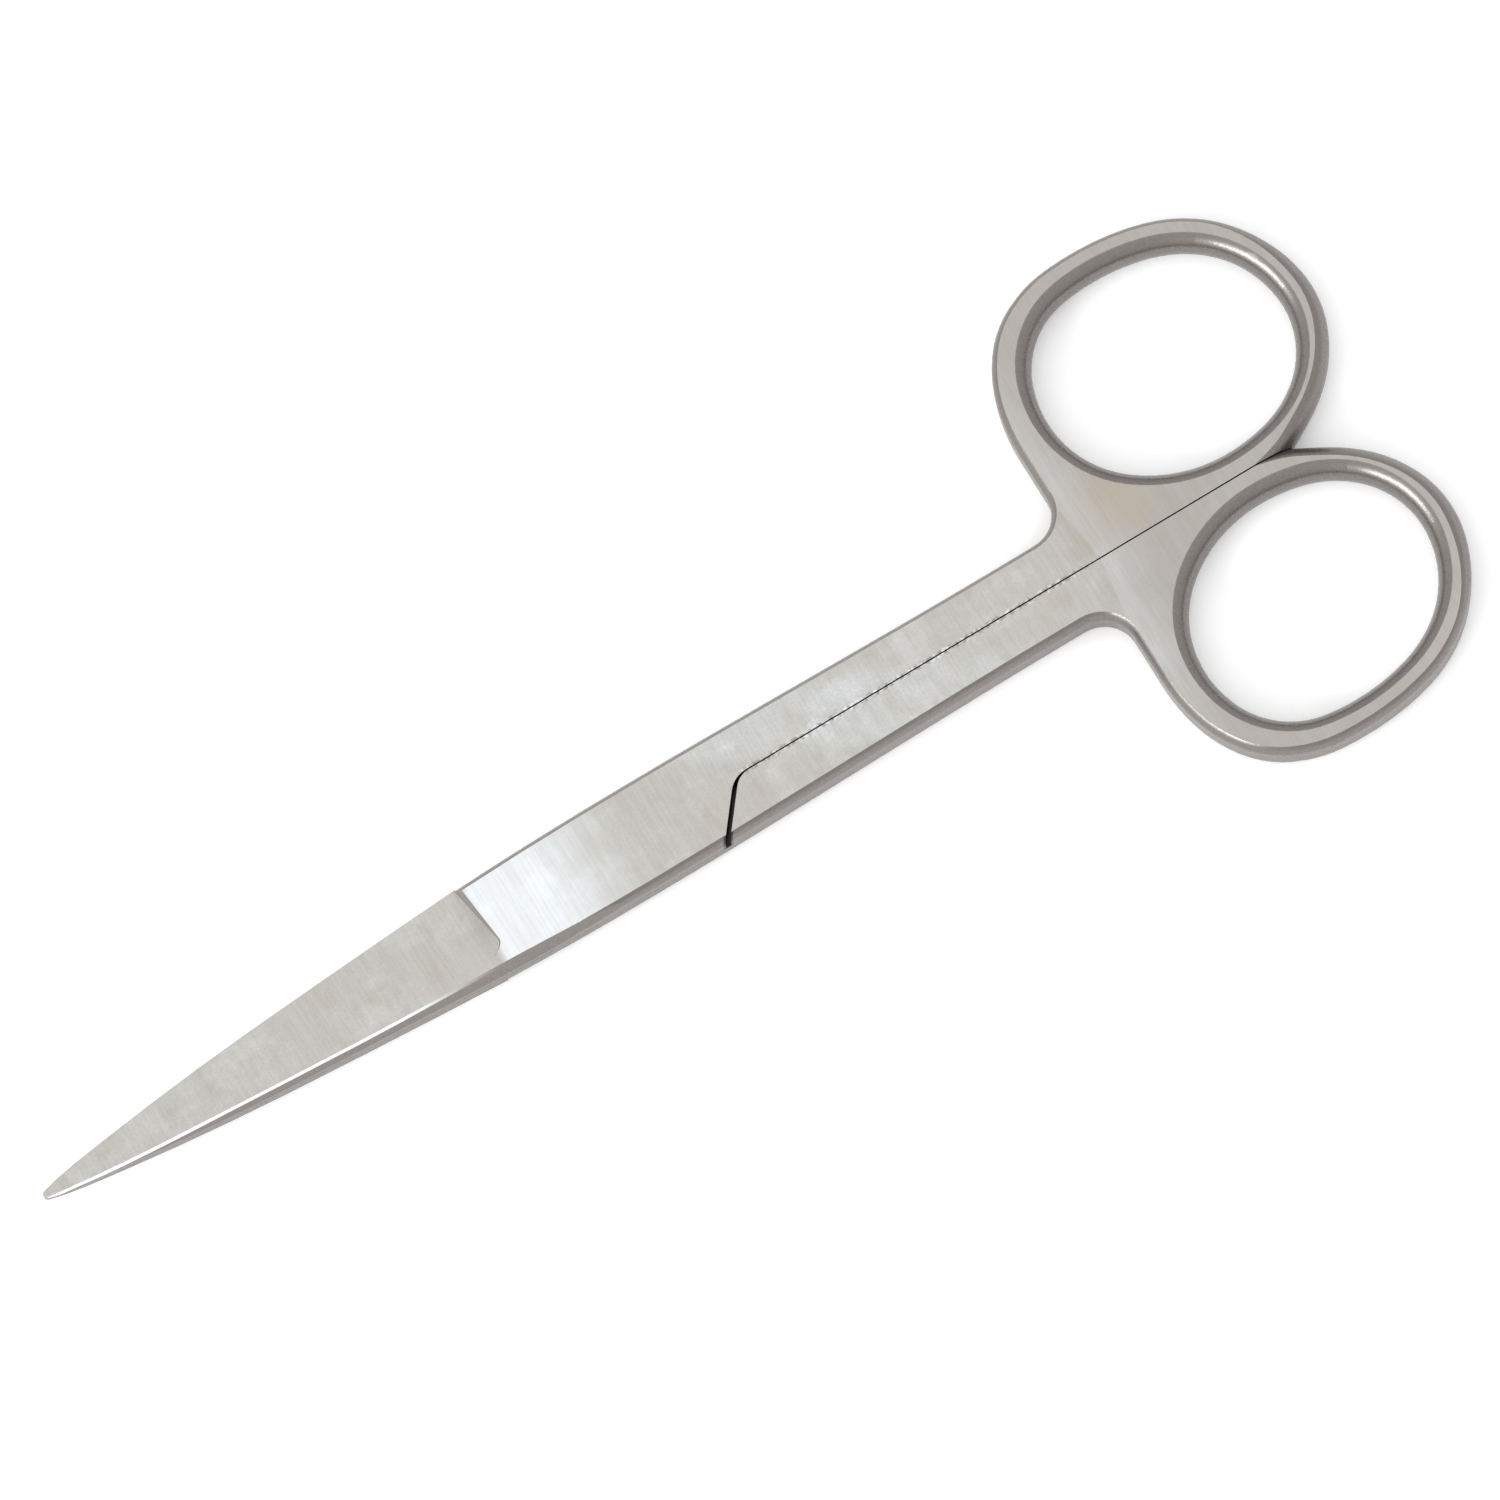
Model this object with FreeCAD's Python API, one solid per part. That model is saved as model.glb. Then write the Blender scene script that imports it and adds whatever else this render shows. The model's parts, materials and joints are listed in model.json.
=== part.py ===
import FreeCAD, Part
import math
import os

# Straight dressing scissors, sharp points, closed. All sizes are in millimetres.
# The halves are the same forging, and each is the other turned over about the long axis X.
# While it is drawn, the pivot stands at x = 0, y = 0 and the parting plane is z = 0.
# The front half is the upper one: its ring is on +Y and its cutting edge faces +Y.

# Lengths along the axis, from the pivot
TIP_TO_PIVOT = 55.4
BLADE_LENGTH = 43.45
PIVOT_TO_RING_CENTRE = 60.85

# Widths and thickness of the closed pair
THICKNESS = 3.8
HEEL_WIDTH = 8.36
BOX_WIDTH = 8.9
SHANK_WIDTH = 8.1
BOX_PAST_PIVOT = 4.0
WAIST_TO_RING_ROOT = 6.85
TIP_WIDTH = 0.76
TIP_ROUND = 0.35

# Blade outline: share of the blade's length from the tip, share of the heel's half width
BLADE_CURVE = ((0.038, 0.165), (0.1, 0.265), (0.38, 0.592), (0.77, 0.872))

# Blade thickness over the parting plane. Each entry below is a share of the blade's length from
# the tip and the height of the back and of the edge wall there
BLADE_HEIGHTS = ((0.0, 0.35, 0.25), (0.1, 0.8, 0.45), (0.38, 1.45, 0.8), (0.77, 1.77, 1.16), (1.0, 1.9, 1.4))

# The slanted back edge of the blade, which fades out along the box. Each entry is a share of the
# blade's length from the tip and how far the slant reaches in from the side on the top
BACK_SLANT = ((0.0, 0.1), (0.1, 0.19), (0.38, 0.42), (0.77, 0.5), (1.0, 0.64), (1.39, 0.0))
BACK_SLANT_ANGLE = 65.0

# The hollow of the inner face. Each entry is a share of the blade's length and the depth there
HOLLOW = ((0.06, 0.01), (0.3, 0.07), (0.6, 0.1), (0.85, 0.08), (1.0, 0.01))
HOLLOW_MARGIN = 0.3

# The grind's end at the heel: a sloping step, leaning back and rounded off beside the back edge
GRIND_STRIP = 0.17
GRIND_END_LEAN = 0.57
GRIND_STEP_ANGLE = 45.0
GRIND_CORNER_LENGTH = 4.0
GRIND_CORNER_WIDTH = 1.6
GRIND_CORNER_INSET = 1.05

# Lap joint: the shoulder against which the other half's shank comes to lie
SHOULDER_PAST_PIVOT = 12.0
SHOULDER_LEAN = 38.3
SHOULDER_CORNER = 2.0
SHOULDER_GAP = 0.42
LAP_CLEARANCE = 0.04
SEAM_GAP = 0.12

# Finger rings: the hole and the bar round it, both at half the thickness
RING_HOLE_LENGTH = 21.9
RING_HOLE_WIDTH = 18.85
RING_HOLE_TO_SEAM = 2.46
RING_BAR = 2.7
RING_BAR_AT_ROOT = 3.55
RING_ROOT_RADIUS = 3.0

# The halves are forged a little thicker with round edges, and then both faces are ground flat.
# The rounds are as forged, and the grinding leaves a crisp line where it cuts across them
GRINDING_ALLOWANCE = 0.22
FORGED_ROUND = 1.2
FORGED_ROUND_AT_FAR_END = 2.0
# What the two rounds leave of the forged edge between them, at the least
FORGED_WALL = 0.08
RING_INNER_DEPTH = 1.28
RING_INNER_FLAT = 0.2

# The ring hole's outline, round from the far end: share of the half length and of the half width,
# and how far the bar there goes from its plain width to its width at the root
RING_OUTLINE = (
    (1.0, 0.0, 0.3), (0.645, 0.745, 0.0), (-0.08, 1.0, 0.0), (-0.71, 0.82, 0.55),
    (-1.0, 0.04, 1.0), (-0.635, -0.765, 1.0), (0.08, -1.0, 0.0), (0.68, -0.79, 0.0),
)
# How near the tangent arcs keep to the curve through these points
ARC_NEARNESS = 0.095
# The ring's outer edge meets the seam this far before the hole's far end, a little higher than the
# bar's plain width would put it. It runs on below the seam, where the seam cut takes it off
RING_MEETS_SEAM = 5.8
RING_SEAM_RISE = 0.18
RING_RUNOUT_ALONG = 9.8
RING_RUNOUT_DROP = 1.02
RING_RUNOUT_SLOPE = 0.25
FAR_SIDE_END = 20.0

# Pivot screw: it turns in the rear half and is screwed into the front half
SCREW_THREAD_DIAMETER = 2.0
SCREW_SHOULDER_DIAMETER = 2.6
SCREW_HEAD_DIAMETER = 4.4
SCREW_HEAD_HEIGHT = 0.85
SCREW_SLOT_WIDTH = 0.55
SCREW_SLOT_DEPTH = 0.45
SCREW_RECESS = 0.05
SCREW_RUNNING_CLEARANCE = 0.03
SCREW_THREAD_CLEARANCE = 0.01
SCREW_HEAD_CLEARANCE = 0.08
SCREW_SKIN = 0.5
SCREW_END_GAP = 0.1
SCREW_EDGE_BREAK = 0.1
SCREW_SLOT_TURN = 35.0

# How far a cutting tool stands past what it cuts
OVERRUN = 1.0
# Two heights or places that differ by less than this are the same
FLAT = 0.01

half_thickness = THICKNESS / 2.0
forged_half = half_thickness + GRINDING_ALLOWANCE
lap_face = LAP_CLEARANCE / 2.0
seam_y = SEAM_GAP / 2.0
heel_x = BLADE_LENGTH - TIP_TO_PIVOT
ring_centre_y = seam_y + RING_HOLE_TO_SEAM + RING_HOLE_WIDTH / 2.0
ring_low_y = seam_y + RING_HOLE_TO_SEAM - RING_BAR
hole_end_x = PIVOT_TO_RING_CENTRE + RING_HOLE_LENGTH / 2.0
ring_left_x = PIVOT_TO_RING_CENTRE - RING_HOLE_LENGTH / 2.0 - RING_BAR_AT_ROOT
root_start_x = ring_left_x - RING_ROOT_RADIUS
split_x = heel_x - OVERRUN
far_end_round = min(FORGED_ROUND_AT_FAR_END, forged_half - FORGED_WALL / 2.0)
head_under = SCREW_RECESS + SCREW_HEAD_HEIGHT - half_thickness
thread_end = half_thickness - SCREW_SKIN - SCREW_END_GAP


def vec(x, y, z=0.0):
    return FreeCAD.Vector(x, y, z)


def spline(points, start=None, end=None):
    """A smooth curve through the points, with its end directions where they are given."""
    curve = Part.BSplineCurve()
    if start is None:
        curve.interpolate(points)
    else:
        curve.interpolate(Points=points, InitialTangent=start, FinalTangent=end)
    return curve


def prism(edges, low, high, shift=vec(0, 0, 0)):
    """A solid between two heights over a closed flat outline. The top is shifted aside where asked."""
    face = Part.Face(Part.Wire(Part.__sortEdges__(edges)))
    face.translate(vec(0, 0, low))
    return face.extrude(vec(0, 0, high - low) + shift)


def tangent_arcs(curve):
    """The curve as a chain of arcs that run smoothly into each other."""
    return [arc.toShape() for arc in curve.toBiArcs(ARC_NEARNESS)]


def turned_over(shape):
    """The same shape turned by half a turn about the long axis."""
    other = shape.copy()
    other.rotate(vec(0, 0, 0), vec(1, 0, 0), 180)
    return other


def blade_x(share):
    """The place along the axis at this share of the blade's length from the tip."""
    return share * BLADE_LENGTH - TIP_TO_PIVOT


def side_outline():
    """The edge of the closed pair in plan on +Y, from the tip to where the shank meets its ring."""
    points = [vec(-TIP_TO_PIVOT + TIP_ROUND, TIP_WIDTH / 2.0)]
    for share, width in BLADE_CURVE:
        points.append(vec(blade_x(share), width * HEEL_WIDTH / 2.0))
    points.append(vec(heel_x, HEEL_WIDTH / 2.0))
    points.append(vec(BOX_PAST_PIVOT, BOX_WIDTH / 2.0))
    points.append(vec(root_start_x - WAIST_TO_RING_ROOT, SHANK_WIDTH / 2.0))
    points.append(vec(root_start_x, SHANK_WIDTH / 2.0))
    return spline(points)


side = side_outline()


def half_width(x):
    """Half the width of the closed pair at x."""
    across = Part.LineSegment(vec(x, -BOX_WIDTH), vec(x, BOX_WIDTH))
    return side.intersect(across)[0].Y


# Where the blade's blank and the shank's blank meet
split_point = vec(split_x, half_width(split_x))
split_line = Part.makeLine(split_point, vec(split_x, -split_point.y))


def ring_point(entry):
    """A point of the ring hole's outline, from its shares of the half length and half width."""
    x = PIVOT_TO_RING_CENTRE + entry[0] * RING_HOLE_LENGTH / 2.0
    return vec(x, ring_centre_y + entry[1] * RING_HOLE_WIDTH / 2.0)


def hole_outline():
    curve = Part.BSplineCurve()
    curve.interpolate(Points=[ring_point(entry) for entry in RING_OUTLINE], PeriodicFlag=True)
    return curve


def bar_point(first, second):
    """A point of the ring's outer edge, set off midway between two points of the hole's outline."""
    hole = hole_outline()
    places = [hole.parameter(ring_point(RING_OUTLINE[index])) for index in (first, second)]
    at = sum(places) / 2.0
    toward_root = (RING_OUTLINE[first][2] + RING_OUTLINE[second][2]) / 2.0
    tangent = hole.tangent(at)[0]
    bar = RING_BAR + (RING_BAR_AT_ROOT - RING_BAR) * toward_root
    return hole.value(at) + vec(tangent.y, -tangent.x) * bar


def ring_outline(start):
    """The ring's outer edge from the end of its root, over the far corner, to below the seam."""
    root = len(RING_OUTLINE) // 2
    pairs = [(root, root), (root, root - 1)] + [(index, index) for index in range(root - 1, -2, -1)]
    meeting = vec(hole_end_x - RING_MEETS_SEAM, ring_low_y + RING_SEAM_RISE)
    runout = vec(hole_end_x - RING_RUNOUT_ALONG, ring_low_y - RING_RUNOUT_DROP)
    points = [start] + [bar_point(*pair) for pair in pairs] + [meeting, runout]
    curve = spline(points, vec(0, 1), vec(-1, -RING_RUNOUT_SLOPE))
    far_corner = curve.parameter(bar_point(1, 1))
    far_end = curve.parameter(bar_point(0, 0))
    edges = [curve.toShape(far_corner, far_end)]
    for start_at, end_at in ((curve.FirstParameter, far_corner), (far_end, curve.LastParameter)):
        stretch = curve.copy()
        stretch.segment(start_at, end_at)
        edges += tangent_arcs(stretch)
    return edges, runout


def side_part(start_x, end_x):
    """A stretch of the closed pair's edge in plan on +Y."""
    places = [side.parameter(vec(x, half_width(x))) for x in (start_x, end_x)]
    return side.toShape(places[0], places[1])


def mirrored(edge):
    return edge.mirror(vec(0, 0, 0), vec(0, 1, 0))


def blade_blank():
    """The blade's plan at full thickness, up to where the shank blank begins."""
    start = side.value(side.FirstParameter)
    tip = Part.Arc(start, vec(-TIP_TO_PIVOT, 0), vec(start.x, -start.y)).toShape()
    near = side.toShape(side.FirstParameter, side.parameter(split_point))
    return prism([tip, near, split_line, mirrored(near)], -half_thickness, half_thickness)


def shank_blank():
    """The forging of the box, shank and ring in plan, without the ring's hole and the lap cuts."""
    end = side.value(side.LastParameter)
    near = side.toShape(side.parameter(split_point), side.LastParameter)
    arc_centre = end + vec(0, RING_ROOT_RADIUS)
    arc_middle = arc_centre + vec(math.sin(math.pi / 4), -math.cos(math.pi / 4)) * RING_ROOT_RADIUS
    arc_end = arc_centre + vec(RING_ROOT_RADIUS, 0)
    root = Part.Arc(end, arc_middle, arc_end).toShape()
    outer, runout = ring_outline(arc_end)
    below = vec(FAR_SIDE_END, -half_width(FAR_SIDE_END))
    closing = Part.makePolygon([runout, vec(below.x, runout.y), below]).Edges
    far = mirrored(side_part(split_x, FAR_SIDE_END))
    return prism([near, root] + outer + closing + [far, split_line], -forged_half, forged_half)


def forged_round(point):
    """The radius of the forging's edge at a corner of its outline."""
    past_far_corner = point.x > PIVOT_TO_RING_CENTRE and point.y < bar_point(1, 1).y - FLAT
    return far_end_round if past_far_corner else FORGED_ROUND


def forged_shank():
    """The shank's forging with its edges rounded, more so on the far half of the ring."""
    document = FreeCAD.newDocument()
    base = document.addObject("Part::Feature", "Blank")
    base.Shape = shank_blank()
    rounds = []
    for number, edge in enumerate(base.Shape.Edges, 1):
        ends = [edge.valueAt(edge.FirstParameter), edge.valueAt(edge.LastParameter)]
        level = abs(ends[0].z - ends[1].z) < FLAT
        curved = not isinstance(edge.Curve, Part.Line)
        if level and curved:
            rounds.append((number, forged_round(ends[0]), forged_round(ends[1])))
    rounded = document.addObject("Part::Fillet", "Rounded")
    rounded.Base = base
    rounded.Edges = rounds
    document.recompute()
    result = rounded.Shape.copy()
    FreeCAD.closeDocument(document.Name)
    return result


def ground_plate():
    """A wide plate of the finished thickness, with the finger hole and its half-round wall."""
    reach = TIP_TO_PIVOT + PIVOT_TO_RING_CENTRE + RING_HOLE_LENGTH
    rise = half_thickness - RING_INNER_FLAT / 2.0
    round_radius = (rise ** 2 + RING_INNER_DEPTH ** 2) / (2 * RING_INNER_DEPTH)
    depth = round_radius + RING_INNER_FLAT / 2.0
    plate = Part.makeBox(2 * reach, 2 * reach, 2 * depth, vec(-reach, -reach, -depth))
    holed = plate.cut(prism(tangent_arcs(hole_outline()), -THICKNESS, THICKNESS))
    rims = [edge for edge in holed.Edges if isinstance(edge.Curve, Part.Circle)]
    rounded = holed.makeFillet(round_radius, rims)
    finished = Part.makeBox(2 * reach, 2 * reach, THICKNESS, vec(-reach, -reach, -half_thickness))
    return rounded.common(finished)


def shank_zone(seam_offset, shoulder_offset, corner_radius):
    """The part of the plan that holds the +Y shank: past the shoulder and beside the seam."""
    lean = math.radians(SHOULDER_LEAN)
    along = vec(1, 0)
    outward = vec(-math.sin(lean), math.cos(lean))
    corner_x = SHOULDER_PAST_PIVOT + shoulder_offset / math.cos(lean)
    corner = vec(corner_x - seam_offset * math.tan(lean), seam_offset)
    half_turn = math.radians(90 + SHOULDER_LEAN) / 2.0
    tangent_length = corner_radius / math.tan(half_turn)
    inward = (along + outward).normalize()
    centre = corner + inward * (corner_radius / math.sin(half_turn))
    seam_end = corner + along * tangent_length
    shoulder_end = corner + outward * tangent_length
    reach = TIP_TO_PIVOT + PIVOT_TO_RING_CENTRE
    shoulder_far = corner + outward * reach
    seam_far = corner + along * reach
    nose = Part.Arc(seam_end, centre - inward * corner_radius, shoulder_end).toShape()
    outside = [shoulder_end, shoulder_far, seam_far + vec(0, reach), seam_far, seam_end]
    return prism([nose] + Part.makePolygon(outside).Edges, -THICKNESS, THICKNESS)


def lap_cut(shape):
    """The shape cut for the lap: full thickness in the shank, half thickness elsewhere."""
    own_shank = shank_zone(seam_y, SHOULDER_GAP / 2.0, SHOULDER_CORNER)
    other_corner = SHOULDER_CORNER + SHOULDER_GAP
    other_shank = turned_over(shank_zone(-seam_y, -SHOULDER_GAP / 2.0, other_corner))
    reach = TIP_TO_PIVOT + PIVOT_TO_RING_CENTRE + RING_HOLE_LENGTH
    under = Part.makeBox(2 * reach, 2 * reach, THICKNESS, vec(-reach, -reach, lap_face - THICKNESS))
    return shape.cut(other_shank).cut(under.cut(own_shank))


def run_on(points):
    """The points with one more at each end, straight on, so that a tool stands past what it cuts."""
    before = points[0] + (points[0] - points[1]).normalize() * OVERRUN
    after = points[-1] + (points[-1] - points[-2]).normalize() * OVERRUN
    return [before] + points + [after]


def above(low_points, high_points):
    """Everything above the straight-lined surface between two curves through these points."""
    curves = [spline(run_on(points)).toShape() for points in (low_points, high_points)]
    surface = Part.makeRuledSurface(curves[0], curves[1])
    return surface.extrude(vec(0, 0, 2 * THICKNESS))


def outline_y(share):
    """Half the width of the closed pair at this share of the blade's length."""
    return half_width(max(blade_x(share), blade_x(0) + TIP_ROUND))


def back_taper():
    """What lies above the blade's back, which gets thinner toward the tip."""
    points = run_on([vec(blade_x(share), 0, back) for share, back, edge in BLADE_HEIGHTS])
    line = spline(points[:-1]).toShape()
    ends = [points[0], vec(points[0].x, 0, THICKNESS), vec(points[-2].x, 0, THICKNESS), points[-2]]
    edges = [line] + Part.makePolygon(ends).Edges
    face = Part.Face(Part.Wire(Part.__sortEdges__(edges)))
    face.translate(vec(0, -BOX_WIDTH))
    return face.extrude(vec(0, 2 * BOX_WIDTH))


def back_slant():
    """What lies outside the slanted edge along the back."""
    slope = math.tan(math.radians(BACK_SLANT_ANGLE))
    heights = [entry[1] for entry in BLADE_HEIGHTS] + [half_thickness]
    low = []
    high = []
    for (share, inset), back in zip(BACK_SLANT, heights):
        corner = vec(blade_x(share), inset - outline_y(share), back)
        reach = inset + OVERRUN
        low.append(corner - vec(0, reach, reach * slope))
        high.append(corner + vec(0, OVERRUN, OVERRUN * slope))
    return above(low, high)


def grind_end():
    """The grind's reach in plan, with its rounded and sloping end at the heel."""
    slope = math.tan(math.radians(GRIND_STEP_ANGLE))
    corner_y = GRIND_CORNER_INSET - HEEL_WIDTH / 2.0
    centre = vec(heel_x - GRIND_CORNER_LENGTH, corner_y + GRIND_CORNER_WIDTH)
    corner = Part.Ellipse(centre, GRIND_CORNER_LENGTH, GRIND_CORNER_WIDTH)
    arc = Part.Arc(corner, math.radians(270), math.radians(360)).toShape()
    arc_low = vec(centre.x, corner_y)
    arc_high = vec(heel_x, centre.y)
    side_y = BOX_WIDTH
    edge_side = vec(heel_x - GRIND_END_LEAN * (side_y - centre.y) / (HEEL_WIDTH / 2.0 - centre.y), side_y)
    past_tip = -TIP_TO_PIVOT - 2 * OVERRUN
    points = [arc_high, edge_side, vec(past_tip, side_y), vec(past_tip, -side_y), arc_low]
    height = half_thickness + OVERRUN
    tool = prism([arc] + Part.makePolygon(points).Edges, 0, height, vec(slope * height, 0))
    tool.translate(vec(-slope * half_thickness, 0))
    return tool


def grind():
    """What the flat grind takes off, from the strip along the back down to the cutting edge's wall."""
    low = []
    high = []
    for (share, back, edge), (_, inset) in zip(BLADE_HEIGHTS, BACK_SLANT):
        strip = vec(blade_x(share), inset + GRIND_STRIP - outline_y(share), back)
        wall = vec(blade_x(share), outline_y(share), edge)
        across = wall - strip
        low.append(wall + across * (OVERRUN / across.y))
        high.append(strip)
    return above(low, high).common(grind_end())


def hollow():
    """What the hollow grinding takes off the blade's inner face, so that only its edges touch."""
    sections = []
    for share, depth in HOLLOW:
        x = blade_x(share)
        reach = outline_y(share) - HOLLOW_MARGIN
        ends = [vec(x, -reach, lap_face), vec(x, reach, lap_face)]
        arc = Part.Arc(ends[0], vec(x, 0, lap_face + depth), ends[1]).toShape()
        down = vec(0, 0, OVERRUN)
        closing = Part.makePolygon([ends[1], ends[1] - down, ends[0] - down, ends[0]]).Edges
        sections.append(Part.Wire([arc] + closing))
    return Part.makeLoft(sections, True, False)


def half():
    """The form that both halves share, without the holes at the pivot. It is the front half's."""
    shape = lap_cut(forged_shank().common(ground_plate()).fuse(blade_blank()))
    return shape.cut(back_taper()).cut(back_slant()).cut(grind()).cut(hollow())


def disc(radius, low, high):
    return Part.makeCylinder(radius, high - low, vec(0, 0, low))


def thread_hole():
    """The front half's blind hole for the screw's thread, below the skin of its ground face."""
    return disc(SCREW_THREAD_DIAMETER / 2.0 + SCREW_THREAD_CLEARANCE, -OVERRUN, thread_end + SCREW_END_GAP)


def screw_bore():
    """The rear half's bore for the screw's shoulder, with the seat for its head."""
    bore = disc(SCREW_SHOULDER_DIAMETER / 2.0 + SCREW_RUNNING_CLEARANCE, -THICKNESS, THICKNESS)
    head_radius = SCREW_HEAD_DIAMETER / 2.0 + SCREW_HEAD_CLEARANCE
    return bore.fuse(disc(head_radius, -THICKNESS, head_under + SCREW_RUNNING_CLEARANCE))


def screw():
    """The slotted pivot screw, with its head at the back and its shoulder up to the front half."""
    head = disc(SCREW_HEAD_DIAMETER / 2.0, head_under - SCREW_HEAD_HEIGHT, head_under)
    rim = [edge for edge in head.Edges if edge.Closed and edge.BoundBox.ZMax < head_under - FLAT]
    head = head.makeChamfer(SCREW_EDGE_BREAK, rim)
    shoulder = disc(SCREW_SHOULDER_DIAMETER / 2.0, head_under, lap_face)
    thread = disc(SCREW_THREAD_DIAMETER / 2.0, lap_face, thread_end)
    slot_corner = vec(-SCREW_HEAD_DIAMETER, -SCREW_SLOT_WIDTH / 2.0, head_under - SCREW_HEAD_HEIGHT - OVERRUN)
    slot = Part.makeBox(2 * SCREW_HEAD_DIAMETER, SCREW_SLOT_WIDTH, OVERRUN + SCREW_SLOT_DEPTH, slot_corner)
    slot.rotate(vec(0, 0, 0), vec(0, 0, 1), SCREW_SLOT_TURN)
    return head.fuse([shoulder, thread]).cut(slot)


def save(shape, node):
    """Writes one piece, placed with its lowest face on z = 0 and the whole length about x = 0."""
    placed = shape.copy()
    placed.translate(vec((TIP_TO_PIVOT - ring_end_x) / 2.0, 0, half_thickness))
    placed.exportStep("parts/" + node + ".step")


plain_half = half()
ring_end_x = plain_half.optimalBoundingBox().XMax
os.makedirs("parts", exist_ok=True)
save(plain_half.cut(thread_hole()), "front_half")
save(turned_over(plain_half).cut(screw_bore()), "rear_half")
save(screw(), "pivot_screw")
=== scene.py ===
import json
import math

import bpy
from mathutils import Matrix, Vector

bl_info = {
    "name": "Dressing Scissors",
    "version": (1, 0, 0),
    "blender": (4, 5, 0),
    "location": "3D View > Sidebar > Scissors",
    "description": "Satin steel finishes and a photo table for a pair of straight dressing scissors",
    "category": "Object",
}

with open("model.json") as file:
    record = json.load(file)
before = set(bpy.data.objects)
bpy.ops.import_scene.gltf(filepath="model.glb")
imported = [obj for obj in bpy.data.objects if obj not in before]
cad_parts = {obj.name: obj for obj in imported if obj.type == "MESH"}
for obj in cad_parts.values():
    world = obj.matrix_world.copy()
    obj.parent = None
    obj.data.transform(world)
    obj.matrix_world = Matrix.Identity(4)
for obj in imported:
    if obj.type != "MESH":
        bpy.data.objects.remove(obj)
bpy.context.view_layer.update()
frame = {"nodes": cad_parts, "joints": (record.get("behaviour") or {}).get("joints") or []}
PIVOT = Vector(frame["joints"][0]["pos_m"])

# Places along the scissors, in metres in the part's frame
HEEL_X = PIVOT.x - 0.01195
BLADE_LENGTH = 0.04345
SHOULDER_X = PIVOT.x + 0.012
CREASE_X = PIVOT.x + 0.0474
MIDDLE_Z = 0.0019
# The blade's back: share of the length from the point, share of the half thickness
BACK_SHARES = ((0.0, 0.184), (0.1, 0.421), (0.38, 0.763), (0.77, 0.932), (1.0, 1.0))

# How far a slanted border moves toward -X for each metre across
SHOULDER_SLOPE = 0.79
BAND_SLOPE = 2.2
CREASE_SLOPE = 0.15

# A pair of borders is where a mask is 0 and where it is 1.
# Four borders are where it starts, is full, starts to fade and ends.
# Borders along X, in metres
EDGE_HIGHLIGHT_FADE = (HEEL_X + 0.001, HEEL_X - 0.012)
BOX_ALONG = (HEEL_X - 0.001, HEEL_X, HEEL_X + 0.003, HEEL_X + 0.0155)
STEP_ALONG = (HEEL_X - 0.0028, HEEL_X - 0.0002, HEEL_X, HEEL_X + 0.0006)
BAND_ALONG = (SHOULDER_X + 0.001, SHOULDER_X + 0.006, SHOULDER_X + 0.015, SHOULDER_X + 0.022)
RIM_ALONG = (SHOULDER_X - 0.003, SHOULDER_X - 0.002, SHOULDER_X + 0.02, SHOULDER_X + 0.028)
SEAM_ALONG = (SHOULDER_X, SHOULDER_X + 0.001, CREASE_X - 0.006, CREASE_X + 0.002)
CREASE_ALONG = (CREASE_X - 0.0001, CREASE_X + 0.0002, CREASE_X + 0.0004, CREASE_X + 0.005)
RING_ALONG = (CREASE_X - 0.003, CREASE_X + 0.003)
ROOT_ALONG = (CREASE_X - 0.002, CREASE_X + 0.001, CREASE_X + 0.004, CREASE_X + 0.009)
# Borders across, in metres from the long axis
ROOT_ACROSS = (0.0, 0.002, 0.005, 0.009)
RIM_ACROSS = (0.001, 0.0008)
SEAM_ACROSS = (0.0004, 0.0001)
# Borders in metres from the middle plane, of which the ground outer faces are 1.9 mm away
OUTER_HEIGHT = (0.00186, 0.001893)
STEP_HEIGHT = (0.00187, 0.0016)
GAP_SHADE_HEIGHT = (0.00189, 0.00184)
RIM_HEIGHT = (0.0012, 0.0017)
# Borders in metres from the shoulder, and below the top of the blade's back
GAP_SHADE_WIDTH = (0.00055, 0.00035)
EDGE_HIGHLIGHT_WIDTH = (0.0004, 0.00028)
# The shoulder is on -Y above the middle plane and on +Y below it: Y times the height over that plane
SHOULDER_SIDE = (4e-7, 1.5e-7)
# Borders in the share of the surface's direction that points up or down: 1 is level and 0 is a wall
LEVEL = (0.9, 0.97)
SLANTED = (0.2, 0.38, 0.7, 0.9)
WALL = (0.3, 0.1)

# Borders in noise values
PATCHES = (0.46, 0.66)
STAINS = (0.50, 0.72)
GRAIN = (0.35, 0.7)
DARK_LINES = (0.35, 0.65)
SEAM_GLINTS = (0.57, 0.66)
SEAM_BLOTCHES = (0.50, 0.40)

# How much of a colour is mixed in where its mask is 1
LOOSE_PATCHES = 0.4
STAIN_SHARE = 0.35
RING_SHARE = 0.75
ROOT_SHARE = 0.8
FACE_GRAIN = 0.26
SIDE_GRAIN = 0.6
CREASE_SHEEN_SHARE = 0.3
DARK_LINE_SHARE = 0.14
STEP_SHADE_SHARE = 0.3
EDGE_HIGHLIGHT_SHARE = 0.9
SEAM_BLOTCH_SHARE = 0.6
SEAM_GLINT_SHARE = 0.7
# The band of the shank and the box's painted highlight: the even share, and what the patches add to it
BAND_EVEN, BAND_PATCHES = 0.45, 0.7
BOX_EVEN, BOX_PATCHES = 0.78, 0.15

PATCH_SIZE = 0.0042
LINE_SPACING = 0.00022
SEAM_NOISE_PER_METRE = 2700.0
GRAIN_ROUGHNESS = 0.08
GRAIN_BUMP = 0.4

# The screw's cloudy parts: how dark, how much of it is mixed in, and how much rougher
CLOUD_TONE = 0.8
CLOUD_SHARE = 0.5
CLOUD_ROUGHNESS = 0.12
CLOUDS_PER_METRE = 900.0
TURNING_DEPTH = 0.000004
TURNING_WAVER = 1.5
# A wave texture of scale 1 repeats about every 0.3 m
WAVE_REPEAT = 0.3

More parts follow.
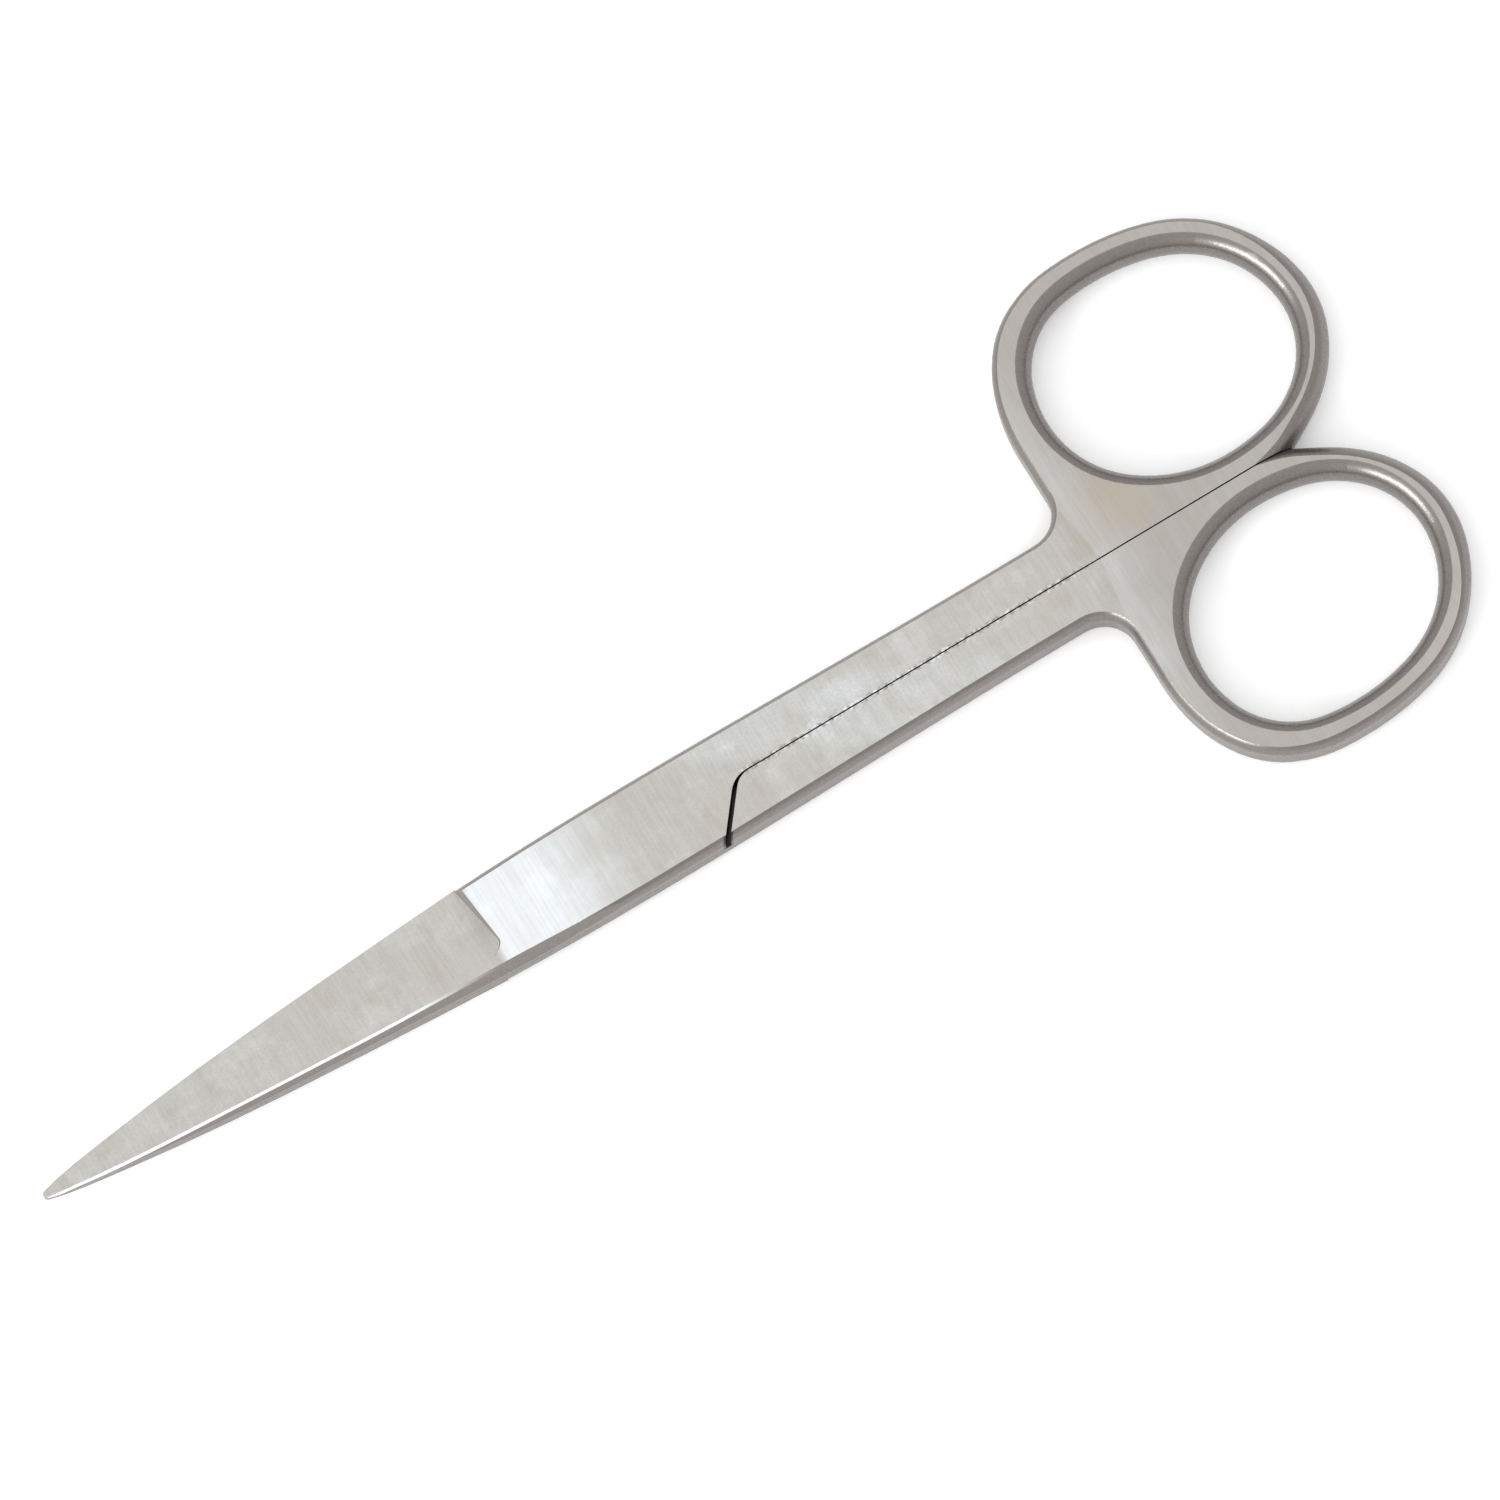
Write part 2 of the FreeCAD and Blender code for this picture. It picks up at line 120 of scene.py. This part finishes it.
FLOOR_SIZE = 6.0
FLOOR_Z = -0.00002
FLOOR_ROUGHNESS = 0.9
FLOOR_SPECULAR = 0.1
# The sky goes over to the overhead colour with the direction's Z, and to the tip side's with its X
OVERHEAD = (0.15, 0.85)
TIP_SIDE = (0.1, -0.8)
SOFTBOX_PLACE = (-0.94, -0.18, 0.5)
SOFTBOX_WIDTH = 0.9
SOFTBOX_HEIGHT = 0.12
SENSOR_WIDTH = 36.0
FARTHEST_VIEW = 50.0


class SteelSettings(bpy.types.PropertyGroup):
    """Colours and polish of the two steel halves"""
    face_color: bpy.props.FloatVectorProperty(
        name="Face Colour", description="Ground outer faces", subtype="COLOR",
        size=3, min=0.0, max=1.0, default=(0.52, 0.51, 0.479))
    # Also the colour of the painted sheen at the crease
    patch_and_sheen_color: bpy.props.FloatVectorProperty(
        name="Patch Colour", description="Bluish patches of brighter polish", subtype="COLOR",
        size=3, min=0.0, max=1.0, default=(0.66, 0.68, 0.70))
    # Painted highlight: the near-white colour laid on the box, on the top of the back's slant and as glints
    # along the seam
    highlight_color: bpy.props.FloatVectorProperty(
        name="Box Colour", description="The bright flat between the grind and the pivot", subtype="COLOR",
        size=3, min=0.0, max=1.0, default=(0.88, 0.92, 0.95))
    stain_color: bpy.props.FloatVectorProperty(
        name="Stain Colour", description="Faint warm blotches on the faces", subtype="COLOR",
        size=3, min=0.0, max=1.0, default=(0.44, 0.40, 0.33))
    ring_color: bpy.props.FloatVectorProperty(
        name="Ring Colour", description="Duller ground faces of the finger rings", subtype="COLOR",
        size=3, min=0.0, max=1.0, default=(0.40, 0.38, 0.355))
    # The sides' dark colour is partly their tumbled finish and partly painted shade; it also colours the
    # dark grinding lines
    shaded_side_color: bpy.props.FloatVectorProperty(
        name="Side Colour", description="Forged rounds and sides, which are tumbled and not ground",
        subtype="COLOR", size=3, min=0.0, max=1.0, default=(0.22, 0.203, 0.192))
    # Also the colour of the painted shade in the grind's step and of the darker blotches along the seam
    grain_and_shade_color: bpy.props.FloatVectorProperty(
        name="Grain Colour", description="Darker grain of the tumbled sides", subtype="COLOR",
        size=3, min=0.0, max=1.0, default=(0.176, 0.161, 0.152))
    # Painted shade, with a little dirt, down in the shoulder's gap and on the seam's walls
    gap_shade_color: bpy.props.FloatVectorProperty(
        name="Gap Colour", description="Soiled walls inside the narrow gap of the lap", subtype="COLOR",
        size=3, min=0.0, max=1.0, default=(0.06, 0.055, 0.052))
    face_roughness: bpy.props.FloatProperty(
        name="Face Roughness", description="Roughness of the ground faces", subtype="FACTOR",
        min=0.0, max=1.0, default=0.36)
    wall_roughness: bpy.props.FloatProperty(
        name="Side Roughness", description="Roughness of the forged rounds and sides", subtype="FACTOR",
        min=0.0, max=1.0, default=0.27)
    line_spacing: bpy.props.FloatProperty(
        name="Line Spacing", description="Distance between grinding lines", unit="LENGTH",
        min=0.00002, max=0.002, default=LINE_SPACING)
    line_depth: bpy.props.FloatProperty(
        name="Line Depth", description="Bump depth of the grinding lines", unit="LENGTH",
        min=0.0, max=0.0001, default=0.000004)


class ScrewSettings(bpy.types.PropertyGroup):
    """Colour and polish of the pivot screw"""
    color: bpy.props.FloatVectorProperty(
        name="Colour", description="Turned head of the screw", subtype="COLOR",
        size=3, min=0.0, max=1.0, default=(0.58, 0.575, 0.56))
    roughness: bpy.props.FloatProperty(
        name="Roughness", description="Roughness of the turned head", subtype="FACTOR",
        min=0.0, max=1.0, default=0.3)
    ring_spacing: bpy.props.FloatProperty(
        name="Turning Spacing", description="Distance between the turning rings on the head",
        unit="LENGTH", min=0.00001, max=0.001, default=0.00009)


class StageSettings(bpy.types.PropertyGroup):
    """Floor, lamps and camera"""
    floor_color: bpy.props.FloatVectorProperty(
        name="Floor Colour", description="Plain pale table", subtype="COLOR",
        size=3, min=0.0, max=1.0, default=(0.95, 0.95, 0.95))
    floor_glow: bpy.props.FloatProperty(
        name="Floor Glow", description="Lifts the table to white and its shadow with it",
        min=0.0, max=1.0, default=0.14)
    sky_color: bpy.props.FloatVectorProperty(
        name="Sky Colour", description="Even light from overhead", subtype="COLOR",
        size=3, min=0.0, max=1.0, default=(1.0, 1.0, 1.0))
    sky_strength: bpy.props.FloatProperty(
        name="Sky Strength", description="Strength of the even light", min=0.0, max=10.0, default=1.15)
    horizon_color: bpy.props.FloatVectorProperty(
        name="Horizon Colour", description="Dimmer light from the sides", subtype="COLOR",
        size=3, min=0.0, max=1.0, default=(0.84, 0.84, 0.84))
    tip_side_color: bpy.props.FloatVectorProperty(
        name="Tip Side Colour", description="Light from the side of the blades' points, -X",
        subtype="COLOR", size=3, min=0.0, max=1.0, default=(1.0, 1.0, 1.0))
    softbox_power: bpy.props.FloatProperty(
        name="Softbox", description="Power of the softbox", unit="POWER",
        min=0.0, max=1000.0, default=7.0)
    camera_azimuth: bpy.props.FloatProperty(
        name="Camera Azimuth", description="Turn from -Y toward -X", subtype="ANGLE",
        default=math.radians(17.26))
    camera_elevation: bpy.props.FloatProperty(
        name="Camera Elevation", description="Height over the table", subtype="ANGLE",
        default=math.radians(74.07))
    camera_roll: bpy.props.FloatProperty(
        name="Camera Roll", description="Turn about the line of sight", subtype="ANGLE",
        default=math.radians(-14.257))
    camera_distance: bpy.props.FloatProperty(
        name="Camera Distance", description="From the scissors' middle", unit="LENGTH", default=3.204)
    picture_scale: bpy.props.FloatProperty(
        name="Picture Scale", description="Picture widths that one metre covers at the scissors",
        min=0.1, default=8.0124)
    picture_offset: bpy.props.FloatVectorProperty(
        name="Picture Offset", size=2, default=(-0.02395, 0.03064),
        description="The middle's place right of and below the picture's centre, in picture widths")


def new_material(name):
    """A metal material with its Principled shader, to which the caller adds colour, polish and bump."""
    material = bpy.data.materials.new(name)
    material.use_nodes = True
    shader = material.node_tree.nodes["Principled BSDF"]
    shader.inputs["Metallic"].default_value = 1.0
    return material, material.node_tree, shader


def math_node(tree, operation, first, second=None):
    """A Math node. Each input is a socket or a number."""
    node = tree.nodes.new("ShaderNodeMath")
    node.operation = operation
    for socket, value in zip(node.inputs, (first, second)):
        if isinstance(value, bpy.types.NodeSocket):
            tree.links.new(value, socket)
        elif value is not None:
            socket.default_value = value
    return node.outputs[0]


def mix_color(tree, share, first, second):
    """A colour mix. The share is a socket, and each colour is a socket or a value."""
    node = tree.nodes.new("ShaderNodeMix")
    node.data_type = "RGBA"
    tree.links.new(share, node.inputs[0])
    for socket, value in zip((node.inputs[6], node.inputs[7]), (first, second)):
        if isinstance(value, bpy.types.NodeSocket):
            tree.links.new(value, socket)
        else:
            socket.default_value = (*value, 1.0)
    return node.outputs[2]


def product(tree, first, *others):
    """All the values multiplied. Each is a socket or a number."""
    for other in others:
        first = math_node(tree, "MULTIPLY", first, other)
    return first


def ramp(tree, value, borders):
    """A value turned to 0 at the first border and 1 at the second, smoothly between."""
    node = tree.nodes.new("ShaderNodeMapRange")
    node.interpolation_type = "SMOOTHSTEP"
    node.inputs["From Min"].default_value, node.inputs["From Max"].default_value = borders
    tree.links.new(value, node.inputs["Value"])
    return node.outputs["Result"]


def band(tree, value, borders):
    """A value turned to 1 between the middle two of four borders and to 0 beyond the outer two."""
    start, full, fading, end = borders
    return product(tree, ramp(tree, value, (start, full)), ramp(tree, value, (end, fading)))


def curve_node(tree, value, points):
    """A value read off a smooth curve through these points. Both axes run from 0 to 1."""
    node = tree.nodes.new("ShaderNodeFloatCurve")
    curve = node.mapping.curves[0]
    for place, point in zip(curve.points, (points[0], points[-1])):
        place.location = point
    for point in points[1:-1]:
        curve.points.new(*point)
    node.mapping.update()
    tree.links.new(value, node.inputs["Value"])
    return node.outputs[0]


def noise(tree, vector, scale, stretch=(1.0, 1.0, 1.0), detail=2.0, roughness=0.5):
    """A noise value on stretched coordinates, at this many features to their unit."""
    mapping = tree.nodes.new("ShaderNodeMapping")
    mapping.inputs["Scale"].default_value = [scale * share for share in stretch]
    tree.links.new(vector, mapping.inputs["Vector"])
    node = tree.nodes.new("ShaderNodeTexNoise")
    node.inputs["Scale"].default_value = 1.0
    node.inputs["Detail"].default_value = detail
    node.inputs["Roughness"].default_value = roughness
    tree.links.new(mapping.outputs[0], node.inputs["Vector"])
    return node.outputs["Fac"]


def scaled_vector(tree, vector, size):
    """Coordinates that count in steps of this size, which is a socket in metres."""
    node = tree.nodes.new("ShaderNodeVectorMath")
    node.operation = "SCALE"
    tree.links.new(vector, node.inputs[0])
    tree.links.new(math_node(tree, "DIVIDE", 1.0, size), node.inputs["Scale"])
    return node.outputs[0]


def separate(tree, vector):
    """The vector's X, Y and Z as three sockets."""
    node = tree.nodes.new("ShaderNodeSeparateXYZ")
    tree.links.new(vector, node.inputs[0])
    return node.outputs


def add_bump(tree, shader, height, depth):
    """Gives the shader a bump of this depth in metres."""
    bump = tree.nodes.new("ShaderNodeBump")
    bump.inputs["Strength"].default_value = 1.0
    bump.inputs["Distance"].default_value = depth
    tree.links.new(height, bump.inputs["Height"])
    tree.links.new(bump.outputs[0], shader.inputs["Normal"])


def new_group(name, inputs, outputs):
    """A shader node group from labelled inputs with types and defaults to labelled float outputs."""
    group = bpy.data.node_groups.new(name, "ShaderNodeTree")
    for label, kind, default in inputs:
        socket = group.interface.new_socket(label, in_out="INPUT", socket_type=kind)
        if default is not None:
            socket.default_value = default
    for label in outputs:
        group.interface.new_socket(label, in_out="OUTPUT", socket_type="NodeSocketFloat")
    start = group.nodes.new("NodeGroupInput")
    end = group.nodes.new("NodeGroupOutput")
    return group, start.outputs, end.inputs


def place_group(tree, group, vector, **values):
    """The group's node in a material, with its own values."""
    node = tree.nodes.new("ShaderNodeGroup")
    node.node_tree = group
    tree.links.new(vector, node.inputs["Vector"])
    for label, value in values.items():
        node.inputs[label.replace("_", " ")].default_value = value
    return node


def polish_group():
    """Uneven polish: soft patches, smaller stains and a fine grain."""
    group, given, masks = new_group(
        "Uneven Polish",
        [("Vector", "NodeSocketVector", None), ("Patch Size", "NodeSocketFloat", PATCH_SIZE)],
        ("Patches", "Stains", "Grain"))
    scaled = scaled_vector(group, given["Vector"], given["Patch Size"])
    patches = noise(group, scaled, 1.0, stretch=(0.7, 1.0, 1.0), detail=8.0, roughness=0.68)
    stains = noise(group, scaled, 2.1, stretch=(1.0, 0.8, 1.0), detail=3.0)
    grain = noise(group, scaled, 24.0)
    group.links.new(ramp(group, patches, PATCHES), masks["Patches"])
    group.links.new(ramp(group, stains, STAINS), masks["Stains"])
    group.links.new(ramp(group, grain, GRAIN), masks["Grain"])
    return group


def lines_group():
    """Fine straight grinding lines that run across the scissors, with broader ones among them."""
    group, given, values = new_group(
        "Grinding Lines",
        [("Vector", "NodeSocketVector", None), ("Spacing", "NodeSocketFloat", LINE_SPACING)],
        ("Lines",))
    scaled = scaled_vector(group, given["Vector"], given["Spacing"])
    fine = noise(group, scaled, 1.0, stretch=(1.0, 0.045, 0.045), detail=3.0)
    broad = noise(group, scaled, 0.22, stretch=(1.0, 0.12, 0.12))
    total = math_node(group, "ADD", product(group, fine, 0.6), product(group, broad, 0.4))
    group.links.new(total, values["Lines"])
    return group


def blade_zones(group, x, upright, height, outer):
    """A painted highlight on the top of the back's slant, which fades toward the heel; a painted highlight
    on the box; and painted shade in the grind's step.
    """
    share = math_node(group, "DIVIDE", math_node(group, "SUBTRACT", x, HEEL_X - BLADE_LENGTH), BLADE_LENGTH)
    back = product(group, curve_node(group, share, BACK_SHARES), MIDDLE_Z)
    below = math_node(group, "SUBTRACT", back, height)
    return {
        # Painted highlight along the top of the back's slant
        "Edge Highlight": product(group, band(group, upright, SLANTED), ramp(group, below, EDGE_HIGHLIGHT_WIDTH),
                             ramp(group, x, EDGE_HIGHLIGHT_FADE)),
        # Painted highlight on the box
        "Box Highlight": product(group, outer, band(group, x, BOX_ALONG)),
        # Painted shade in the grind's step
        "Step Shade": product(group, band(group, x, STEP_ALONG), ramp(group, height, STEP_HEIGHT)),
    }


def lap_zones(group, x, y, above, upright, height, beside):
    """Painted shade, with a little dirt, down in the slanted shoulder and on the seam's walls near the outer
    face, and the seam.
    """
    leaning = math_node(group, "ADD", x, product(group, beside, SHOULDER_SLOPE))
    from_shoulder = math_node(group, "ABSOLUTE", math_node(group, "SUBTRACT", leaning, SHOULDER_X))
    # Painted shade down in the shoulder's gap
    shoulder = product(group, ramp(group, from_shoulder, GAP_SHADE_WIDTH), ramp(group, height, GAP_SHADE_HEIGHT),
                       ramp(group, product(group, y, above), SHOULDER_SIDE))
    # Painted shade on the seam's walls near the outer face
    rim = product(group, ramp(group, upright, WALL), ramp(group, beside, RIM_ACROSS),
                  ramp(group, height, RIM_HEIGHT), band(group, x, RIM_ALONG))
    return {
        "Gap Shade": math_node(group, "MAXIMUM", shoulder, rim),
        "Seam": product(group, ramp(group, beside, SEAM_ACROSS), band(group, x, SEAM_ALONG)),
    }


def shank_zones(group, x, y, outer, beside):
    """The brighter band that crosses the shank at a slant, a painted sheen at the crease, and the ring with
    its root.
    """
    slanted = math_node(group, "ADD", x, product(group, y, BAND_SLOPE))
    along = math_node(group, "ADD", x, product(group, beside, CREASE_SLOPE))
    return {
        "Shank": product(group, outer, band(group, slanted, BAND_ALONG)),
        # Painted sheen at the crease
        "Crease Sheen": band(group, along, CREASE_ALONG),
        "Ring": ramp(group, along, RING_ALONG),
        # The front half's ring root is a little browner than the rear half's
        "Stained Root": product(group, band(group, x, ROOT_ALONG), band(group, y, ROOT_ACROSS)),
    }


def zones_group():
    """Masks for the parts of a half, from the place and the direction of its surface."""
    names = ("Ground", "Shank", "Edge Highlight", "Box Highlight", "Step Shade", "Gap Shade", "Seam", "Crease Sheen", "Ring", "Stained Root")
    group, given, masks = new_group(
        "Surface Zones", [("Vector", "NodeSocketVector", None), ("Normal", "NodeSocketVector", None)], names)
    x, y, z = separate(group, given["Vector"])
    upright = math_node(group, "ABSOLUTE", separate(group, given["Normal"])[2])
    beside = math_node(group, "ABSOLUTE", y)
    above = math_node(group, "SUBTRACT", z, MIDDLE_Z)
    height = math_node(group, "ABSOLUTE", above)
    outer = ramp(group, height, OUTER_HEIGHT)
    zones = {
        **blade_zones(group, x, upright, height, outer),
        **lap_zones(group, x, y, above, upright, height, beside),
        **shank_zones(group, x, y, outer, beside),
    }
    zones["Ground"] = math_node(group, "MAXIMUM", ramp(group, upright, LEVEL), zones["Edge Highlight"])
    for name in names:
        group.links.new(zones[name], masks[name])
    return group


def steel_material(steel, zones, lines, polish):
    """Satin steel of the halves: ground faces, tumbled sides darkened with painted shade, a box with a
    painted highlight, other painted highlights, sheen and shade, and uneven polish.
    """
    material, tree, shader = new_material("satin_steel")
    place = tree.nodes.new("ShaderNodeTexCoord")
    position = place.outputs["Object"]
    zone = place_group(tree, zones, position)
    tree.links.new(place.outputs["Normal"], zone.inputs["Normal"])
    zone = zone.outputs
    uneven = place_group(tree, polish, position, Patch_Size=PATCH_SIZE).outputs
    grinding = place_group(tree, lines, position, Spacing=steel.line_spacing).outputs["Lines"]
    patches, grain = uneven["Patches"], uneven["Grain"]

    brighter = product(tree, zone["Shank"],
                       math_node(tree, "ADD", product(tree, patches, BAND_PATCHES), BAND_EVEN))
    patchy = math_node(tree, "MAXIMUM", product(tree, patches, LOOSE_PATCHES), brighter)
    # Painted highlight on the box, a little uneven with the patches
    box_highlight = product(tree, zone["Box Highlight"],
                    math_node(tree, "ADD", product(tree, patches, BOX_PATCHES), BOX_EVEN))
    seam_noise = noise(tree, position, SEAM_NOISE_PER_METRE)
    # Painted glints along the seam
    seam_glints = product(tree, zone["Seam"], ramp(tree, seam_noise, SEAM_GLINTS))
    # Darker blotches along the seam
    seam_blotches = product(tree, zone["Seam"], ramp(tree, seam_noise, SEAM_BLOTCHES))
    color = tuple(steel.face_color)
    for share, target in (
            (patchy, steel.patch_and_sheen_color),
            (product(tree, uneven["Stains"], STAIN_SHARE), steel.stain_color),
            (product(tree, zone["Ring"], RING_SHARE), steel.ring_color),
            (product(tree, zone["Stained Root"], ROOT_SHARE), steel.stain_color),
            (product(tree, grain, FACE_GRAIN), steel.stain_color),
            # Painted highlight on the box
            (box_highlight, steel.highlight_color),
            # Painted sheen at the crease
            (product(tree, zone["Crease Sheen"], CREASE_SHEEN_SHARE), steel.patch_and_sheen_color),
            (product(tree, ramp(tree, grinding, DARK_LINES), DARK_LINE_SHARE), steel.shaded_side_color),
            # Painted shade in the grind's step
            (product(tree, zone["Step Shade"], STEP_SHADE_SHARE), steel.grain_and_shade_color),
            # Painted highlight on the top of the back's slant
            (product(tree, zone["Edge Highlight"], EDGE_HIGHLIGHT_SHARE), steel.highlight_color),
            # Darker blotches along the seam
            (product(tree, seam_blotches, SEAM_BLOTCH_SHARE), steel.grain_and_shade_color),
            # Painted glints along the seam
            (product(tree, seam_glints, SEAM_GLINT_SHARE), steel.highlight_color)):
        color = mix_color(tree, share, color, tuple(target))
    # The sides' dark colour: their tumbled finish with painted shade, and a darker grain
    sides = mix_color(tree, product(tree, grain, SIDE_GRAIN),
                      tuple(steel.shaded_side_color), tuple(steel.grain_and_shade_color))
    color = mix_color(tree, zone["Ground"], sides, color)
    # Painted shade, with a little dirt, in the gap
    color = mix_color(tree, zone["Gap Shade"], color, tuple(steel.gap_shade_color))
    tree.links.new(color, shader.inputs["Base Color"])

    on_sides = product(tree, math_node(tree, "SUBTRACT", 1.0, zone["Ground"]),
                       steel.wall_roughness - steel.face_roughness)
    added = math_node(tree, "ADD", product(tree, grain, GRAIN_ROUGHNESS), on_sides)
    tree.links.new(math_node(tree, "ADD", added, steel.face_roughness), shader.inputs["Roughness"])

    lined = product(tree, grinding, zone["Ground"])
    height = math_node(tree, "ADD", lined, product(tree, grain, GRAIN_BUMP))
    add_bump(tree, shader, height, steel.line_depth)
    return material


def screw_material(screw):
    """Turned steel with fine rings about the screw's axis and a slight cloudiness."""
    material, tree, shader = new_material("turned_screw")
    position = tree.nodes.new("ShaderNodeTexCoord").outputs["Object"]
    centred = tree.nodes.new("ShaderNodeMapping")
    centred.inputs["Location"].default_value = (-PIVOT.x, -PIVOT.y, 0.0)
    tree.links.new(position, centred.inputs["Vector"])
    rings = tree.nodes.new("ShaderNodeTexWave")
    rings.wave_type = "RINGS"
    rings.rings_direction = "Z"
    rings.inputs["Scale"].default_value = WAVE_REPEAT / screw.ring_spacing
    rings.inputs["Distortion"].default_value = TURNING_WAVER
    tree.links.new(centred.outputs[0], rings.inputs["Vector"])
    cloud = noise(tree, position, CLOUDS_PER_METRE)
    darker = [share * CLOUD_TONE for share in screw.color]
    color = mix_color(tree, product(tree, cloud, CLOUD_SHARE), tuple(screw.color), tuple(darker))
    tree.links.new(color, shader.inputs["Base Color"])
    roughness = math_node(tree, "ADD", product(tree, cloud, CLOUD_ROUGHNESS), screw.roughness)
    tree.links.new(roughness, shader.inputs["Roughness"])
    add_bump(tree, shader, rings.outputs["Fac"], TURNING_DEPTH)
    return material


def assign(node, material):
    """Gives a CAD node this material in place of its plain one."""
    mesh = frame["nodes"][node].data
    mesh.materials.clear()
    mesh.materials.append(material)


class SCISSORS_OT_halves(bpy.types.Operator):
    """Finishes both halves in satin steel"""
    bl_idname = "scissors.halves"
    bl_label = "Finish Halves"

    def execute(self, context):
        steel = context.scene.scissors_steel
        material = steel_material(steel, zones_group(), lines_group(), polish_group())
        for node in ("front_half", "rear_half"):
            assign(node, material)
        return {"FINISHED"}


class SCISSORS_OT_pivot_screw(bpy.types.Operator):
    """Finishes the pivot screw with turning rings about its axis"""
    bl_idname = "scissors.pivot_screw"
    bl_label = "Finish Pivot Screw"

    def execute(self, context):
        assign("pivot_screw", screw_material(context.scene.scissors_screw))
        return {"FINISHED"}


def add_floor(stage):
    """The plain pale table just under the scissors."""
    bpy.ops.object.select_all(action="DESELECT")
    bpy.ops.mesh.primitive_plane_add(size=FLOOR_SIZE, location=(0.0, 0.0, FLOOR_Z))
    floor = bpy.context.object
    floor.name = "table"
    material = bpy.data.materials.new("pale_table")
    material.use_nodes = True
    shader = material.node_tree.nodes["Principled BSDF"]
    shader.inputs["Base Color"].default_value = (*stage.floor_color, 1.0)
    shader.inputs["Roughness"].default_value = FLOOR_ROUGHNESS
    shader.inputs["Specular IOR Level"].default_value = FLOOR_SPECULAR
    shader.inputs["Emission Color"].default_value = (1.0, 1.0, 1.0, 1.0)
    shader.inputs["Emission Strength"].default_value = stage.floor_glow
    floor.data.materials.append(material)


def add_sky(scene, stage):
    """Even light from overhead, dimmer from the sides and brighter again from the tip side."""
    world = bpy.data.worlds.new("even_sky")
    scene.world = world
    world.use_nodes = True
    sky = world.node_tree
    direction = sky.nodes.new("ShaderNodeTexCoord")
    x, _, z = separate(sky, direction.outputs["Generated"])
    level = mix_color(sky, ramp(sky, x, TIP_SIDE), tuple(stage.horizon_color), tuple(stage.tip_side_color))
    tone = mix_color(sky, ramp(sky, z, OVERHEAD), level, tuple(stage.sky_color))
    background = sky.nodes["Background"]
    sky.links.new(tone, background.inputs["Color"])
    background.inputs["Strength"].default_value = stage.sky_strength


def add_softbox(scene, stage, target):
    """A long softbox at the tip side that faces the target."""
    light = bpy.data.lights.new("softbox", "AREA")
    light.shape = "RECTANGLE"
    light.size = SOFTBOX_WIDTH
    light.size_y = SOFTBOX_HEIGHT
    light.energy = stage.softbox_power
    lamp = bpy.data.objects.new("softbox", light)
    lamp.location = SOFTBOX_PLACE
    lamp.rotation_euler = (target - Vector(SOFTBOX_PLACE)).to_track_quat("-Z", "Y").to_euler()
    scene.collection.objects.link(lamp)


def add_camera(scene, stage, middle):
    """The photo's view, with the middle at its place in the picture."""
    azimuth, elevation, roll = stage.camera_azimuth, stage.camera_elevation, stage.camera_roll
    toward = Vector((-math.sin(azimuth) * math.cos(elevation),
                     -math.cos(azimuth) * math.cos(elevation), math.sin(elevation)))
    level_right = Vector((0.0, 0.0, 1.0)).cross(toward).normalized()
    level_up = toward.cross(level_right)
    right = level_right * math.cos(roll) + level_up * math.sin(roll)
    up = level_up * math.cos(roll) - level_right * math.sin(roll)
    offset_x, offset_y = stage.picture_offset
    aim = middle + (up * offset_y - right * offset_x) / stage.picture_scale
    view = bpy.data.cameras.new("photo_view")
    view.sensor_width = SENSOR_WIDTH
    view.lens = stage.picture_scale * stage.camera_distance * SENSOR_WIDTH
    view.clip_end = FARTHEST_VIEW
    camera = bpy.data.objects.new("photo_view", view)
    turn = Matrix((right, up, toward)).transposed().to_4x4()
    camera.matrix_world = Matrix.Translation(aim + toward * stage.camera_distance) @ turn
    scene.collection.objects.link(camera)
    scene.camera = camera


class SCISSORS_OT_stage(bpy.types.Operator):
    """Sets the pale table, the soft light and the camera"""
    bl_idname = "scissors.stage"
    bl_label = "Set Stage"

    def execute(self, context):
        scene = context.scene
        stage = scene.scissors_stage
        middle = Vector((0.0, 0.0, MIDDLE_Z))
        add_floor(stage)
        add_sky(scene, stage)
        add_softbox(scene, stage, middle)
        add_camera(scene, stage, middle)
        scene.view_settings.view_transform = "Standard"
        return {"FINISHED"}


class SCISSORS_PT_panel(bpy.types.Panel):
    """The steps that finish the scissors, in order"""
    bl_idname = "SCISSORS_PT_panel"
    bl_label = "Dressing Scissors"
    bl_space_type = "VIEW_3D"
    bl_region_type = "UI"
    bl_category = "Scissors"

    def draw(self, context):
        for settings, operator in SECTIONS:
            box = self.layout.box()
            group = getattr(context.scene, settings)
            for name in group.bl_rna.properties.keys():
                if name not in ("name", "rna_type"):
                    box.prop(group, name)
            box.operator(operator)


SECTIONS = (
    ("scissors_steel", "scissors.halves"),
    ("scissors_screw", "scissors.pivot_screw"),
    ("scissors_stage", "scissors.stage"),
)
SETTINGS = {
    "scissors_steel": SteelSettings,
    "scissors_screw": ScrewSettings,
    "scissors_stage": StageSettings,
}
CLASSES = (
    SteelSettings, ScrewSettings, StageSettings,
    SCISSORS_OT_halves, SCISSORS_OT_pivot_screw, SCISSORS_OT_stage, SCISSORS_PT_panel,
)


def register():
    for cls in CLASSES:
        bpy.utils.register_class(cls)
    for name, cls in SETTINGS.items():
        setattr(bpy.types.Scene, name, bpy.props.PointerProperty(type=cls))


def unregister():
    for name in SETTINGS:
        delattr(bpy.types.Scene, name)
    for cls in reversed(CLASSES):
        bpy.utils.unregister_class(cls)


def main():
    register()
    bpy.ops.scissors.halves()
    bpy.ops.scissors.pivot_screw()
    bpy.ops.scissors.stage()


if __name__ == "__main__":
    main()
